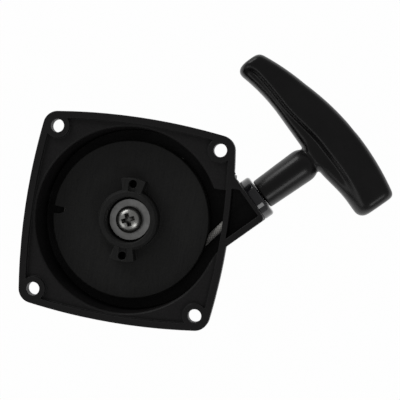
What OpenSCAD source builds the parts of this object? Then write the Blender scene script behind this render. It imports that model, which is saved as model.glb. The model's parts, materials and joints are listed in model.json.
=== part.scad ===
// Recoil starter for a small two-stroke engine, in millimetres.
// Origin: centre of the four mounting holes, on the mounting face. +Z points out of the open engine side.
// The reel turns about Z. The rope leaves along the pull line, which lies in a plane of constant Z.

/* [Mounting flange] */
// Distance between mounting hole centres, both ways
hole_spacing = 72; // [60:0.5:90]
// Diameter of a mounting hole
hole_d = 5.8; // [4.5:0.1:6.5]
// Radius of the flange's corners round each hole
corner_r = 6.4; // [5.5:0.1:8]
// How far the middle of a side stands out past the corners
side_bulge = 2.45; // [1.5:0.05:4]
// Flange thickness at the rim and bosses
flange_t = 5; // [4:0.25:8]
// Width of the raised rim round the edge
rim_w = 3.1; // [2:0.1:3.6]
// Height of the rim above the corner pockets
rim_h = 1.8; // [0.8:0.1:2.5]
// Radius of the boss round each mounting hole
boss_r = 5.4; // [4.4:0.1:5.4]

/* [Housing] */
// Distance from the bore to the middle of a flange side
bore_edge = 4.35; // [4:0.05:6]
// Wall of the round drum
drum_wall = 2.6; // [2:0.1:3.5]
// Floor of the drum and of the spring dome
floor_t = 2.6; // [2:0.1:4]
// Wall of the spring dome
dome_wall = 2.9; // [2.4:0.1:4]
// Side walls of the neck
neck_wall = 2.8; // [2:0.1:3.5]
// Wall of the outlet, above the rope tunnel
outlet_wall = 1.5; // [1.2:0.1:3]
// Width of the rim bar between the rope mouth and the neck's pocket
bar_w = 2.4; // [1.8:0.1:3]
// Radius of the centre post
post_r = 5.5; // [5.2:0.1:5.9]

/* [Reel] */
// Depth of the reel's face below the mounting face
reel_depth = 12; // [10:0.5:16]
// Gap between the reel and the bore
reel_gap = 5.2; // [3:0.1:7]
// Thickness of each reel flange
reel_flange_t = 2.2; // [1.6:0.1:3]
// Width of the rope groove
groove_w = 4.2; // [3.6:0.1:6]
// Radius of the groove's floor
core_r = 16; // [15.8:0.1:19]
// Outer radius of the hub tube
hub_r = 13.4; // [12.6:0.1:14.5]
// Inner radius of the hub tube
hub_bore_r = 10; // [9.5:0.1:10.8]
// Height of the hub above the reel's face
hub_h = 8; // [6:0.25:9.5]
// Outer radius of the two drive dogs
dog_r = 18.4; // [17.5:0.1:20]
// Width of a drive dog at its tip
dog_w = 10.8; // [8:0.1:12]
// Diameter of the hole in each dog
dog_hole_d = 3.5; // [2:0.1:4]

/* [Spring] */
// Width of the spring strip
spring_w = 6.2; // [5:0.1:8]
// Thickness of the spring strip
spring_t = 0.5; // [0.3:0.05:0.6]
// Turns of the spring
spring_turns = 8; // [4:1:8]
// Radius of the reel's spring arbor
arbor_r = 10.5; // [10.3:0.1:11]
// How far the spring cup stays inside the reel's rim
cup_inset = 5.3; // [5:0.1:7]
// Sheet thickness of the spring cup
cup_t = 0.6; // [0.5:0.1:1]
// Thickness of the cover plate over the spring
cover_t = 0.8; // [0.6:0.1:1.2]

/* [Rope] */
// Rope diameter
rope_d = 3.1; // [2.5:0.1:3.4]
// How far the outer lay of rope sits inside the reel's rim
rope_inset = 5.6; // [3:0.1:6.5]
// Angle of the rope to the pull line before it enters the guide, in degrees
rope_bend = 7.25; // [6.5:0.05:10]

/* [Outlet] */
// Direction of the pull line from +X, in degrees
pull_angle = 44.3; // [35:0.1:55]
// Distance of the pull line inside the rope's tangent
pull_inset = 5.05; // [4.5:0.05:7]
// Distance of the outlet face past the middle of a flange side
outlet_reach = 4.45; // [3:0.05:8]
// Half width of the neck
neck_half = 9.8; // [9:0.1:11]
// Depth of the open pocket over the rope tunnel
pocket_depth = 11; // [6:0.25:11.3]
// Outer diameter of the guide ring
guide_d = 19.8; // [16:0.1:20]
// Length of the guide ring outside the outlet face
guide_len = 4.3; // [3:0.1:6]

/* [Handle] */
// Stem diameter at the guide
stem_d = 13.8; // [12:0.1:15]
// Stem diameter at the grip
stem_end_d = 14.9; // [13:0.1:16]
// Length of the stem to the end of its dome
stem_len = 28.8; // [26:0.1:32]
// Distance from the stem's foot to the top of the palm curve
grip_u = 49.1; // [46:0.1:54]
// Length of the long arm of the grip
long_arm = 51.1; // [42:0.1:60]
// Length of the short arm of the grip
short_arm = 33.8; // [28:0.1:40]
// Radius of the palm curve
palm_r = 118; // [100:1:150]
// How far the top of the palm curve lies towards the short arm
palm_shift = 8; // [4:0.5:12]
// Thickness of the palm side of the grip
palm_t = 17; // [14:0.5:20]
// Thickness of the finger side of the grip
web_t = 11; // [9:0.5:12]

/* [Centre screw] */
// Thread diameter
screw_d = 6; // [5:0.5:6]
// Head diameter
head_d = 12; // [9:0.1:12.5]
// Head height
head_h = 3.8; // [2.5:0.1:4.5]
// Outer diameter of the retaining washer
washer_d = 18.4; // [15:0.1:18.6]
// Thickness of the retaining washer
washer_t = 1.6; // [1:0.1:2]
// Thickness of the split lock washer
lock_t = 1.5; // [1:0.1:1.8]

/* [Hidden] */
$fn = 96;

eps = 0.01;
fit = 0.02;              // radial gap of a pressed or screwed fit
run = 0.06;              // radial gap of a running fit
float_gap = 0.1;         // axial play of a washer or spring
reel_float = 0.6;        // height of the reel above the cover plate
big_fn = 360;            // facets of circles with a large radius

// plan sizes
hole_half = hole_spacing / 2;
half_w = hole_half + corner_r + side_bulge;
side_r = (pow(hole_half, 2) + pow(corner_r + side_bulge, 2) - pow(corner_r, 2)) / (2 * side_bulge);
bore_r = half_w - bore_edge;
reel_r = bore_r - reel_gap;
rope_r = reel_r - rope_inset;            // centre line of the outer lay
cup_r = reel_r - cup_inset;
plate_r = reel_r - 0.5;                  // cover plate and cup rim
dome_r = cup_r + dome_wall;
cover_screw_r = cup_r + 2.5;
cover_screw_angles = [60, 180, 300];
cover_screw_body_r = 1.5;
cover_screw_head_r = 3;
cover_screw_head_h = 1.6;
cover_boss_r = 3.9;

// heights, downward from the mounting face
reel_top = -reel_depth;
groove_top = reel_top - reel_flange_t;
groove_bottom = groove_top - groove_w;
reel_bottom = groove_bottom - reel_flange_t;
rope_z = (groove_top + groove_bottom) / 2;
cover_top = reel_bottom - reel_float;
cover_bottom = cover_top - cover_t;
ledge_z = cover_bottom - cup_t;
cup_floor_top = cover_bottom - spring_w - 2 * float_gap;
recess_z = cup_floor_top - cup_t;
back_z = recess_z - floor_t;
thrust_t = 0.5;
web_top = reel_top - 1.2;                // reel's web inside the hub tube
washer_bottom = web_top + thrust_t + float_gap;
washer_top = washer_bottom + washer_t;
post_top = washer_bottom;
shoulder_z = recess_z + 1.2;
arbor_bottom = shoulder_z + thrust_t + float_gap;

// centre stack
sleeve_r = post_r + 1;
bush_r = sleeve_r + run + 1.4;
insert_r = post_r - 1.4;
insert_len = 12;
insert_bottom = post_top - insert_len;
screw_tip = post_top - 9;
root_r = 8.6;                            // post's root and lower thrust washer

// rope and outlet, in the pull frame: x along the pull line, y to its left
pull_y = -(rope_r - pull_inset);
outlet_u = half_w + outlet_reach;
stem_gap = 0.15;
stem_u = outlet_u + guide_len + stem_gap;
sleeve_guide_r = 3.6;                    // guide's sleeve inside the outlet wall
guide_hole_r = rope_d / 2 + 0.65;
guide_back = outlet_u - 6.7;
tunnel_r = 3.2;
bend_u = (rope_r * cos(rope_bend) + pull_y) / tan(rope_bend) + rope_r * sin(rope_bend);
bend_r = 16;
bend_len = bend_r * tan(rope_bend / 2);
neck_bottom = rope_z - neck_half - 0.4;
// y of the neck's upper corner, in the row frame
neck_corner_y = outlet_u * sin(pull_angle) + (neck_half + pull_y) * cos(pull_angle);
neck_corner_x = outlet_u * cos(pull_angle) - (neck_half + pull_y) * sin(pull_angle);
neck_fillet_r = 3.6;
mouth_low = -12.5;                       // where the rope mouth starts to leave the bore
mouth_taper = 12;                        // length over which it runs out to the rim

// handle
knot_seat = 36;                          // u of the knot's seat in the grip
knot_r = 3.4;
knot_washer_t = 1;
pocket_r = 4.3;
cap_r = 6;
cap_face_u = grip_u - pow(palm_shift, 2) / (2 * palm_r) - 0.7;
cap_t = 1.8;
palm_round = 3.6;
end_round = 4;
palm_cx = grip_u - palm_r;
palm_cy = -palm_shift;

shell_black = [0.11, 0.11, 0.115];
reel_black = [0.15, 0.15, 0.15];
grip_black = [0.07, 0.07, 0.075];
steel = [0.72, 0.72, 0.74];
brass = [0.78, 0.62, 0.28];
spring_steel = [0.42, 0.45, 0.5];
rope_white = [0.8, 0.79, 0.75];
nylon = [0.86, 0.84, 0.76];

// ---- shared shapes ----

// Ring or disc between two heights
module ring(r_out, r_in, z_low, z_high) {
    translate([0, 0, z_low])
        difference() {
            cylinder(r = r_out, h = z_high - z_low);
            if (r_in > 0)
                translate([0, 0, -eps]) cylinder(r = r_in, h = z_high - z_low + 2 * eps);
        }
}

// Puts its children on the pull line, with +X along the pull and X = 0 abreast of the reel's axis
module on_pull_line() {
    rotate([0, 0, pull_angle]) translate([0, pull_y, rope_z]) children();
}

// Cylinder along the pull line
module pull_rod(r, from, to, r_end = undef) {
    translate([from, 0, 0]) rotate([0, 90, 0])
        cylinder(r1 = r, r2 = is_undef(r_end) ? r : r_end, h = to - from);
}

// Points of one flange corner and of half the side on each hand of it,
// for the corner turned by k quarter turns.
// A corner's arc and a side's long arc meet in a common tangent.
function corner_points(inset, k) = let (
        centre = half_w - side_r,
        lean = atan2(hole_half, hole_half - centre),
        side = [for (i = [0 : 11]) let (a = lean * i / 12)
            [centre + (side_r - inset) * cos(a), (side_r - inset) * sin(a)]],
        corner = [for (i = [0 : 10]) let (a = lean + (90 - 2 * lean) * i / 10)
            [hole_half + (corner_r - inset) * cos(a), hole_half + (corner_r - inset) * sin(a)]],
        next = [for (i = [11 : -1 : 1]) let (a = lean * i / 12)
            [(side_r - inset) * sin(a), centre + (side_r - inset) * cos(a)]])
    [for (p = concat(side, corner, next))
        [p[0] * cos(90 * k) - p[1] * sin(90 * k), p[0] * sin(90 * k) + p[1] * cos(90 * k)]];

// Four-sided flange outline with bulging sides, shrunk by inset all round
module flange_outline(inset = 0) {
    polygon([for (k = [0 : 3]) each corner_points(inset, k)]);
}

module at_mount_holes() {
    for (x = [-1, 1], y = [-1, 1]) translate([x * hole_half, y * hole_half, 0]) children();
}

module at_cover_screws() {
    for (a = cover_screw_angles) rotate([0, 0, a]) translate([cover_screw_r, 0, 0]) children();
}

// Hole for a cover screw, with its countersink
module cover_screw_hole(gap) {
    translate([0, 0, cover_top - cover_screw_head_h])
        cylinder(r1 = cover_screw_body_r + gap, r2 = cover_screw_head_r + gap, h = cover_screw_head_h + eps);
    translate([0, 0, cover_top - 4]) cylinder(r = cover_screw_body_r + gap, h = 4);
}

// ---- housing ----

module drum_outside() {
    edge = 1.2;
    out = bore_r + drum_wall;
    drum_bottom = ledge_z - floor_t;
    rotate_extrude()
        polygon([[0, back_z], [dome_r - edge, back_z], [dome_r, back_z + edge],
            [dome_r, drum_bottom], [out - edge, drum_bottom], [out, drum_bottom + edge],
            [out, -rim_h], [0, -rim_h]]);
}

module neck_block() {
    corner = 1.8;
    start = bore_r * 0.6;
    difference() {
        on_pull_line() translate([0, 0, neck_bottom - rope_z]) {
            translate([start, -neck_half, 0])
                cube([outlet_u - corner - start, 2 * neck_half, -neck_bottom]);
            translate([start, corner - neck_half, 0])
                cube([outlet_u - start, 2 * neck_half - corner, -neck_bottom]);
            translate([outlet_u - corner, corner - neck_half, 0])
                cylinder(r = corner, h = -neck_bottom, $fn = 48);
        }
        // the neck's low start under the drum
        translate([0, 0, neck_bottom - 1]) cylinder(r = dome_r - 1, h = ledge_z - neck_bottom + 2);
    }
    // web that fills the corner between neck and flange, with a hollow round
    difference() {
        translate([neck_corner_x - 7, neck_corner_y - 7, -flange_t])
            cube([7 + eps, 7 + neck_fillet_r, flange_t]);
        translate([neck_corner_x + 1.6, neck_corner_y + neck_fillet_r, -flange_t - 1])
            cylinder(r = neck_fillet_r, h = flange_t + 2, $fn = 64);
    }
}

// Pocket over the rope tunnel, outside the rim bar
module neck_pocket() {
    intersection() {
        difference() {
            on_pull_line() translate([0, neck_wall - neck_half, -rope_z - pocket_depth])
                cube([outlet_u - outlet_wall, 2 * (neck_half - neck_wall) + 20, pocket_depth + 1]);
            translate([0, 0, -pocket_depth - 1])
                linear_extrude(pocket_depth + 3) flange_outline(rim_w - bar_w);
        }
        translate([0, -bore_r, -pocket_depth - 1])
            cube([2 * bore_r, bore_r + neck_corner_y - neck_wall - 0.4, pocket_depth + 3]);
    }
}

// Gap beside the reel where the rope crosses to the neck. Its lower end runs out of the bore at a slant
module rope_mouth() {
    start_x = sqrt(pow(bore_r, 2) - pow(mouth_low, 2));
    mouth_high = neck_corner_y - neck_wall - 1.6;
    intersection() {
        translate([0, 0, ledge_z]) linear_extrude(1 - ledge_z) flange_outline(rim_w);
        translate([0, 0, ledge_z - 1]) linear_extrude(3 - ledge_z)
            polygon([[bore_r / 2, mouth_low], [start_x, mouth_low], [half_w, mouth_low + mouth_taper],
                [half_w, mouth_high], [bore_r / 2, mouth_high]]);
    }
}

// Wall under the flange that closes the rope mouth on the neck's left
module mouth_wall() {
    wall_y = neck_half + 4;
    low = ledge_z - floor_t;
    intersection() {
        on_pull_line() translate([bore_r * 0.6, 0, low - rope_z]) cube([outlet_u, wall_y, -1 - low]);
        translate([0, 0, low - 1]) linear_extrude(1 - low) flange_outline(0.6);
    }
}

module flange_pockets() {
    difference() {
        translate([0, 0, -rim_h]) linear_extrude(rim_h + 1) flange_outline(rim_w);
        at_mount_holes() translate([0, 0, -rim_h - 1]) cylinder(r = boss_r, h = rim_h + 3);
    }
}

// Ribs under the flange, two to each corner boss. Their tops end inside the flange
module flange_ribs() {
    rib_t = 2;
    rib_drop = 9;
    rib_reach = 7.5;
    rib_top = -rim_h - 1.2;
    for (k = [0 : 3], s = [-1, 1])
        rotate([0, 0, 90 * k + 45 + s * 5.5]) translate([bore_r, 0, 0]) rotate([90, 0, 0])
            translate([0, 0, -rib_t / 2]) linear_extrude(rib_t)
                polygon([[1, -flange_t - rib_drop], [drum_wall + 0.5, -flange_t - rib_drop],
                    [drum_wall + rib_reach, rib_top], [1, rib_top]]);
}

module housing() {
    bore_chamfer = 0.7;
    label_r = 21;
    color(shell_black) {
        difference() {
            union() {
                translate([0, 0, -flange_t]) linear_extrude(flange_t) flange_outline();
                drum_outside();
                neck_block();
                mouth_wall();
                flange_ribs();
                at_cover_screws() translate([0, 0, back_z + 1.4])
                    cylinder(r = cover_boss_r, h = ledge_z - back_z - 1.4);
            }
            flange_pockets();
            translate([0, 0, ledge_z]) cylinder(r = bore_r, h = 1 - ledge_z);
            translate([0, 0, -rim_h - bore_chamfer])
                cylinder(r1 = bore_r, r2 = bore_r + bore_chamfer + 1, h = bore_chamfer + 1);
            translate([0, 0, recess_z]) cylinder(r = cup_r + run, h = ledge_z - recess_z + 1);
            translate([0, 0, back_z - 1]) cylinder(r = label_r, h = 1.5);
            rope_mouth();
            neck_pocket();
            on_pull_line() {
                pull_rod(tunnel_r, bore_r * 0.6, guide_back + 1);
                pull_rod(sleeve_guide_r + fit, guide_back, outlet_u + 1);
            }
            at_mount_holes() translate([0, 0, -flange_t - 1]) cylinder(d = hole_d, h = flange_t + 2);
            at_cover_screws() {
                translate([0, 0, ledge_z - 6]) cylinder(r = cover_screw_body_r + fit, h = 7, $fn = 32);
                translate([0, 0, cover_top - cover_screw_head_h])
                    cylinder(r1 = cover_screw_body_r + fit, r2 = cover_screw_head_r + fit,
                        h = cover_screw_head_h);
            }
        }
        // centre post with the pocket for the threaded insert
        difference() {
            union() {
                translate([0, 0, recess_z - eps]) cylinder(r = root_r, h = shoulder_z - recess_z + eps);
                translate([0, 0, recess_z - eps]) cylinder(r = post_r, h = post_top - recess_z + eps);
            }
            translate([0, 0, insert_bottom]) cylinder(r = insert_r + fit, h = insert_len + 1);
        }
    }
}

// ---- centre stack ----

module threaded_insert() {
    color(brass) ring(insert_r, screw_d / 2 + fit, insert_bottom, post_top);
}

module post_sleeve() {
    color(steel) ring(sleeve_r, post_r + fit, shoulder_z, post_top);
}

module lower_thrust_washer() {
    color(nylon) ring(root_r, sleeve_r + run, shoulder_z, shoulder_z + thrust_t);
}

module upper_thrust_washer() {
    color(nylon) ring(washer_d / 2 - 0.4, sleeve_r + run, web_top + float_gap, washer_bottom);
}

module retaining_washer() {
    color(steel) ring(washer_d / 2, screw_d / 2 + 0.2, washer_bottom, washer_top);
}

// Spring washer with a slanted split
module lock_washer() {
    color(spring_steel) difference() {
        ring(head_d / 2 - 0.5, screw_d / 2 + 0.15, washer_top, washer_top + lock_t);
        rotate([0, 0, 200]) translate([screw_d / 2, -0.4, washer_top - 1]) rotate([20, 0, 0])
            cube([head_d, 0.8, lock_t + 2]);
    }
}

module centre_screw() {
    head_z = washer_top + lock_t;
    dome_sphere = (pow(head_d / 2, 2) + pow(head_h - 1, 2)) / (2 * (head_h - 1));
    color(steel) difference() {
        union() {
            translate([0, 0, screw_tip]) cylinder(d = screw_d, h = head_z - screw_tip + eps);
            intersection() {
                translate([0, 0, head_z]) cylinder(d = head_d, h = head_h);
                translate([0, 0, head_z + head_h - dome_sphere]) sphere(r = dome_sphere, $fn = 128);
            }
        }
        // cross recess
        for (a = [24, 114]) rotate([0, 0, a])
            translate([-3, -0.55, head_z + head_h - 2]) cube([6, 1.1, 3]);
        translate([0, 0, head_z + head_h - 2.6]) cylinder(r1 = 0.4, r2 = 1.5, h = 3);
    }
}

// ---- spring ----

module spring_cup() {
    color(steel) difference() {
        union() {
            translate([0, 0, recess_z]) cylinder(r = cup_r, h = ledge_z - recess_z + eps);
            translate([0, 0, ledge_z]) cylinder(r = plate_r, h = cup_t);
        }
        translate([0, 0, cup_floor_top]) cylinder(r = cup_r - cup_t, h = spring_w + 5);
        translate([0, 0, recess_z - 1]) cylinder(r = root_r + 0.3, h = 3);
        translate([rivet_x, 0, recess_z - 1]) cylinder(r = rivet_r + fit, h = 3, $fn = 32);
        at_cover_screws() cover_screw_hole(0.15);
    }
}

module spring_cover() {
    color(steel) difference() {
        ring(plate_r, arbor_r + 0.7, cover_bottom, cover_top);
        at_cover_screws() cover_screw_hole(0.15);
    }
}

module cover_screws() {
    screw_reach = 5.8;
    color(steel) at_cover_screws() difference() {
        union() {
            translate([0, 0, cover_top - cover_screw_head_h])
                cylinder(r1 = cover_screw_body_r, r2 = cover_screw_head_r - 0.05,
                    h = cover_screw_head_h - 0.05);
            translate([0, 0, ledge_z - screw_reach])
                cylinder(r = cover_screw_body_r, $fn = 32,
                    h = screw_reach + cover_top - cover_screw_head_h - ledge_z + eps);
        }
        for (a = [0, 90]) rotate([0, 0, a])
            translate([-1.5, -0.3, cover_top - 1]) cube([3, 0.6, 2]);
    }
}

spring_r0 = arbor_r + 0.8;
loop_r = 1.35;                            // hook at the spring's outer end
spring_pitch = (cup_r - cup_t - spring_t / 2 - 0.1 - 2 * loop_r - spring_r0) / spring_turns;
rivet_x = spring_r0 + spring_pitch * spring_turns + loop_r;
rivet_r = loop_r - spring_t / 2 - fit;

// Half a turn of strip, from +X round to -X, on the side that s says
module half_turn(r, x, s) {
    translate([x, 0, 0]) rotate([0, 0, s > 0 ? 0 : 180])
        rotate_extrude(angle = 180)
            translate([r - spring_t / 2, 0]) square([spring_t, spring_w]);
}

module recoil_spring() {
    color(spring_steel) translate([0, 0, cup_floor_top + float_gap]) {
        for (k = [0 : spring_turns - 1]) {
            half_turn(spring_r0 + spring_pitch * k, 0, 1);
            half_turn(spring_r0 + spring_pitch * (k + 0.5), spring_pitch / 2, -1);
        }
        half_turn(loop_r, rivet_x, 1);
        translate([arbor_r - 1.2, -spring_t, 0])
            cube([spring_r0 + spring_t / 2 - arbor_r + 1.2, spring_t, spring_w]);
    }
}

module spring_rivet() {
    color(steel) translate([rivet_x, 0, recess_z])
        cylinder(r = rivet_r, h = cover_bottom - recess_z - float_gap, $fn = 32);
}

// ---- reel ----

module dog_outline() {
    intersection() {
        circle(r = dog_r);
        polygon([[-dog_w / 2 + 1.5, hub_r - 2], [-dog_w / 2, hub_r + 3.8], [-dog_w / 2, dog_r + 1],
            [dog_w / 2, dog_r + 1], [dog_w / 2, hub_r + 3.8], [dog_w / 2 - 1.5, hub_r - 2]]);
    }
}

module reel() {
    hub_top = reel_top + hub_h;
    dog_top = hub_top - 0.5;
    dog_hole_y = hub_r + 2.5;
    chamfer = 1.2;
    edge = 0.5;
    notch_in = reel_r - 5.4;
    knot_y = core_r - 3.4;
    color(reel_black) difference() {
        union() {
            rotate_extrude() polygon([[bush_r, web_top], [hub_bore_r, web_top],
                [hub_bore_r, hub_top - edge], [hub_bore_r + edge, hub_top],
                [hub_r - chamfer, hub_top], [hub_r, hub_top - chamfer], [hub_r, reel_top],
                [reel_r - edge, reel_top], [reel_r, reel_top - edge], [reel_r, groove_top],
                [core_r, groove_top], [core_r, groove_bottom], [reel_r, groove_bottom],
                [reel_r, reel_bottom], [arbor_r, reel_bottom], [arbor_r, arbor_bottom],
                [bush_r, arbor_bottom]]);
            difference() {
                for (s = [0, 180]) rotate([0, 0, s])
                    translate([0, 0, reel_top - eps]) linear_extrude(dog_top - reel_top + eps) dog_outline();
                translate([0, 0, reel_top - 1]) cylinder(r = (hub_r + hub_bore_r) / 2, h = hub_h + 2);
            }
        }
        // hole and shallow groove in each dog
        for (s = [0, 180]) rotate([0, 0, s]) {
            translate([0, dog_hole_y, dog_top - 9]) cylinder(d = dog_hole_d, h = 10, $fn = 48);
            translate([-1.6, hub_r - 1, dog_top - 1]) cube([3.2, dog_hole_y - hub_r + 1, 2]);
        }
        // rope notch in the rim
        translate([0, 0, groove_top - 1]) linear_extrude(reel_flange_t + 2)
            polygon([[-notch_in, -0.9], [-notch_in, 0.2], [-notch_in - 0.5, 0.6], [-reel_r - 1, 1.05],
                [-reel_r - 1, -2.75], [-notch_in - 1.7, -2.1]]);
        // pocket for the knot, and the hole to it from the groove
        rotate([0, 0, 120]) {
            translate([knot_y - 0.2, 0, reel_bottom - 1])
                cylinder(r = 3, h = rope_z + 3 - reel_bottom + 1, $fn = 48);
            translate([knot_y, 0, rope_z]) rotate([0, 90, 0]) cylinder(d = rope_d + 0.4, h = 5, $fn = 48);
        }
        // notch that takes the spring's inner hook
        translate([arbor_r - 1.5, -spring_t - 0.2, arbor_bottom - 1])
            cube([3, spring_t + 0.4, reel_bottom - arbor_bottom + 1 - 0.2]);
    }
}

module reel_bush() {
    color(brass) ring(bush_r - fit, sleeve_r + run, arbor_bottom + 0.2, web_top - 0.1);
}

module rope_on_reel() {
    side = 0.15;
    color(rope_white)
        ring(rope_r - rope_d / 2 - 0.05, core_r + 0.1, groove_bottom + side, groove_top - side);
}

module reel_knot() {
    knot_y = core_r - 3.6;
    color(rope_white) rotate([0, 0, 120]) translate([knot_y, 0, rope_z]) {
        sphere(r = 2.7, $fn = 48);
        rotate([0, 90, 0]) cylinder(d = rope_d, h = core_r - knot_y, $fn = 48);
    }
}

// ---- rope from the reel to the handle ----

// Route in the pull frame: straight off the outer lay, one gentle bend, then along the pull line
lead_route = concat(
    [[[rope_r * sin(rope_bend), -rope_r * cos(rope_bend) - pull_y], rope_bend]],
    [for (k = [0 : 4]) let (a = rope_bend * (4 - k) / 4)
        [[bend_u + bend_len - bend_r * sin(a), bend_r * (cos(a) - 1)], a]],
    [[[stem_u + knot_seat + knot_washer_t, 0], 0]]);
lead_sides = 8;

// Tube swept along the route, one ring of points at each station
module rope_lead() {
    n = len(lead_route);
    points = [for (s = lead_route) for (k = [0 : lead_sides - 1])
        let (a = 360 * (k + 0.5) / lead_sides, c = rope_d / 2 * cos(a))
            [s[0][0] - c * sin(s[1]), s[0][1] + c * cos(s[1]), rope_d / 2 * sin(a)]];
    sides = [for (i = [0 : n - 2], k = [0 : lead_sides - 1])
        let (j = (k + 1) % lead_sides)
            [i * lead_sides + k, i * lead_sides + j, (i + 1) * lead_sides + j, (i + 1) * lead_sides + k]];
    first_end = [for (k = [lead_sides - 1 : -1 : 0]) k];
    last_end = [for (k = [0 : lead_sides - 1]) (n - 1) * lead_sides + k];
    color(rope_white) on_pull_line() polyhedron(points, concat(sides, [first_end, last_end]));
}

// Bush pressed into the outlet wall, with a rounded ring outside and flared mouths
module rope_guide() {
    round_r = 1.3;
    ring_r = guide_d / 2;
    length = outlet_u + guide_len - guide_back;
    color(grip_black) on_pull_line() translate([guide_back, 0, 0]) rotate([0, 90, 0])
        rotate_extrude() difference() {
            union() {
                square([sleeve_guide_r, length]);
                translate([0, length - guide_len]) square([ring_r - round_r, guide_len]);
                translate([0, length - guide_len]) square([ring_r, guide_len - round_r]);
                translate([ring_r - round_r, length - round_r]) circle(r = round_r, $fn = 48);
            }
            translate([-1, -1]) square([guide_hole_r + 1, length + 2]);
            // inner mouth flare and dished outer face
            polygon([[guide_hole_r - 1, -1], [sleeve_guide_r - 0.5, -1], [sleeve_guide_r - 0.5, 0],
                [guide_hole_r, 2], [guide_hole_r - 1, 2]]);
            polygon([[guide_hole_r - 1, length + 1], [guide_hole_r + 1.5, length + 1],
                [guide_hole_r + 1.5, length], [guide_hole_r, length - 1.8],
                [guide_hole_r - 1, length - 1.8]]);
        }
}

// ---- handle: x from the stem's foot along the pull line, y to the left ----

module on_handle() {
    on_pull_line() translate([stem_u, 0, 0]) children();
}

module palm_body() {
    ridge = [[35.6, -short_arm - 1], [34.4, -5.5], [34.2, 5], [31.6, 20], [28.1, long_arm + 1]];
    intersection() {
        translate([0, 0, -palm_t / 2]) linear_extrude(palm_t)
            polygon(concat(ridge, [[90, long_arm + 1], [90, -short_arm - 1]]));
        translate([palm_cx, palm_cy, 0]) rotate_extrude($fn = big_fn) {
            translate([palm_r - 40, -palm_t / 2]) square([40 - palm_round, palm_t]);
            translate([palm_r - 40, palm_round - palm_t / 2]) square([40, palm_t - 2 * palm_round]);
            for (s = [-1, 1]) translate([palm_r - palm_round, s * (palm_t / 2 - palm_round)])
                circle(r = palm_round, $fn = 64);
        }
        end_prism(palm_t);
    }
}

// Bar along X whose section rounds off the ends of both arms
module end_prism(t) {
    rotate([90, 0, 90]) linear_extrude(90) {
        translate([-short_arm, end_round - t / 2]) square([long_arm + short_arm, t - 2 * end_round]);
        translate([end_round - short_arm, -t / 2]) square([long_arm + short_arm - 2 * end_round, t]);
        for (y = [end_round - short_arm, long_arm - end_round], z = [-1, 1])
            translate([y, z * (t / 2 - end_round)]) circle(r = end_round, $fn = 48);
    }
}

// One arm of the finger side: a rounded edge from a to b, run back into the palm side
module web_arm(a, b, palm_a, palm_b) {
    r = web_t / 2;
    hull() {
        for (p = [a, b]) translate([p[0] + r, p[1], 0]) sphere(r = r, $fn = 24);
        for (p = [palm_a, palm_b]) translate([p[0] - 1, p[1] - 1, -r]) cube([2, 2, web_t]);
    }
}

module finger_web() {
    tip = web_t / 2;
    web_arm([stem_len - 2.5, 4], [stem_len - 4.6, long_arm - tip],
        [grip_u - 6, 0], [grip_u - 18, long_arm - 6]);
    web_arm([stem_len - 2.5, 4], [stem_len + 0.4, tip - short_arm],
        [grip_u - 6, 8], [grip_u - 7, 6 - short_arm]);
}

module handle_grip() {
    dome_u = stem_len - stem_end_d / 2;
    color(grip_black) on_handle() difference() {
        union() {
            palm_body();
            finger_web();
            pull_rod(stem_d / 2 - 0.6, 0, 0.6 + eps, stem_d / 2);
            pull_rod(stem_d / 2, 0.6, dome_u, stem_end_d / 2);
            translate([dome_u, 0, 0]) rotate([0, 90, 0]) sphere(d = stem_end_d);
        }
        pull_rod(rope_d / 2 + 0.35, -1, knot_seat + 1);
        pull_rod(pocket_r, knot_seat, grip_u + 5);
        pull_rod(cap_r + fit, cap_face_u - cap_t, grip_u + 5);
    }
}

module knot_washer() {
    color(steel) on_handle() difference() {
        pull_rod(pocket_r - 0.2, knot_seat, knot_seat + knot_washer_t);
        pull_rod(rope_d / 2 + 0.1, knot_seat - 1, knot_seat + knot_washer_t + 1);
    }
}

module handle_knot() {
    color(rope_white) on_handle() translate([knot_seat + knot_washer_t + knot_r, 0, 0])
        intersection() {
            sphere(r = knot_r + 0.3, $fn = 64);
            pull_rod(knot_r + 0.3, -knot_r, knot_r);
        }
}

// Plug over the knot, flush in the palm
module handle_cap() {
    color(grip_black) on_handle() {
        pull_rod(cap_r, cap_face_u - cap_t, cap_face_u);
        pull_rod(pocket_r - fit, knot_seat + knot_washer_t + 2 * knot_r + 0.6, cap_face_u - cap_t + eps);
    }
}

housing();
threaded_insert();
post_sleeve();
spring_cup();
spring_rivet();
recoil_spring();
spring_cover();
cover_screws();
lower_thrust_washer();
upper_thrust_washer();
retaining_washer();
lock_washer();
centre_screw();
rope_guide();
reel();
reel_bush();
rope_on_reel();
reel_knot();
rope_lead();
handle_grip();
handle_knot();
knot_washer();
handle_cap();
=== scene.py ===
"""Looks of the recoil starter: moulded housing and reel, wound starter rope, guide ring and T-handle.

Lengths are in metres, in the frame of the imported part. A size written as a number of millimetres is times MM.
"""
import json
import math

import bpy
from mathutils import Matrix, Vector
from mathutils.bvhtree import BVHTree


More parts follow.
